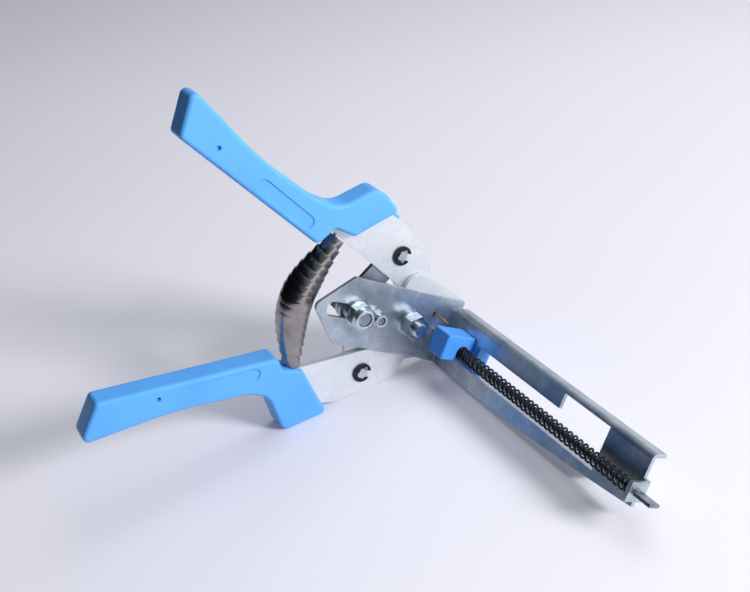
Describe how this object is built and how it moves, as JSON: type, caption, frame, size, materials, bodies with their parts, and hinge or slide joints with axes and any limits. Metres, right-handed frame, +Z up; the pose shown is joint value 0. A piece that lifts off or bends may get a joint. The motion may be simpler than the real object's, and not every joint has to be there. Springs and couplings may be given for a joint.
{
  "type": "clip pliers",
  "caption": "Crossing-lever clip pliers with two closing links and a side-feeding spring magazine for M-shaped wire clips.",
  "frame": {"origin": "middle of the floor under the tool as it rests on its grip heel, magazine skirt and jaw nose", "axes": "+Z up; +X from the handles to the nose; -Y out of the front plate along the magazine"},
  "size_m": [0.2227, 0.1968, 0.1944],
  "materials": {
    "zinc_steel": "bright zinc plating, satin",
    "black_steel": "black oxide, semi-gloss",
    "spring_strip": "dark polished strip",
    "blue_plastic": "moulded, semi-gloss",
    "copper_plate": "copper plated wire"
  },
  "bodies": {
    "head": {"front_plate": "zinc_steel", "pivot_bolt": "zinc_steel", "pivot_washer": "zinc_steel", "pivot_lock_washer": "zinc_steel", "pivot_nut": "zinc_steel", "guide_bolt": "zinc_steel", "guide_washer": "zinc_steel", "guide_nut": "zinc_steel", "volute_spring": "spring_strip", "guide_rod": "zinc_steel", "pusher_spring": "black_steel", "m_clips": "copper_plate", "copper_peg": "copper_plate"},
    "upper_handle": {"upper_lever": "zinc_steel", "upper_grip": "blue_plastic", "upper_link_pin": "zinc_steel", "upper_e_ring": "black_steel"},
    "lower_handle": {"lower_lever": "zinc_steel", "lower_grip": "blue_plastic", "lower_link_pin": "zinc_steel", "lower_e_ring": "black_steel"},
    "slide": {"slide_bolt": "zinc_steel", "slide_spacer": "zinc_steel", "slide_washer": "zinc_steel", "slide_nut": "zinc_steel"},
    "upper_link_body": {"upper_link": "zinc_steel"},
    "lower_link_body": {"lower_link": "zinc_steel"},
    "pusher": {"pusher_block": "blue_plastic"}
  },
  "joints": [
    {"name": "upper_handle_turn", "type": "hinge", "parent": "head", "child": "upper_handle", "pos_m": [0.0731, 0.08845, 0.03329], "axis": [0, -1, 0], "range_deg": [0, 13], "stiffness_Nm_per_rad": 2, "springref_deg": -17.19, "deforming": ["volute_spring"]},
    {"name": "lower_handle_turn", "type": "hinge", "parent": "head", "child": "lower_handle", "pos_m": [0.0731, 0.08515, 0.03329], "axis": [0, 1, 0], "range_deg": [0, 13], "deforming": ["volute_spring"]},
    {"name": "slide_travel", "type": "slide", "parent": "head", "child": "slide", "axis": [-0.842, 0, 0.5394], "range_m": [0, 0.01422]},
    {"name": "upper_link_turn", "type": "hinge", "parent": "upper_handle", "child": "upper_link_body", "pos_m": [0.07796, 0.09135, 0.07091], "axis": [0, 1, 0], "range_deg": [0, 25.05]},
    {"name": "lower_link_turn", "type": "hinge", "parent": "lower_handle", "child": "lower_link_body", "pos_m": [0.04096, 0.08835, 0.01314], "axis": [0, -1, 0], "range_deg": [0, 25.05]},
    {"name": "pusher_slide", "type": "slide", "parent": "head", "child": "pusher", "axis": [0, -1, 0], "range_m": [0, 0.09], "stiffness_N_per_m": 20, "springref_m": -0.02, "deforming": ["pusher_spring"]}
  ],
  "couplings": [
    {"joint": "lower_handle_turn", "follows": "upper_handle_turn", "ratio": 1},
    {"joint": "slide_travel", "follows": "upper_handle_turn", "m_per_rad": 0.062225},
    {"joint": "upper_link_turn", "follows": "upper_handle_turn", "ratio": 1.9115},
    {"joint": "lower_link_turn", "follows": "upper_handle_turn", "ratio": 1.9115}
  ]
}
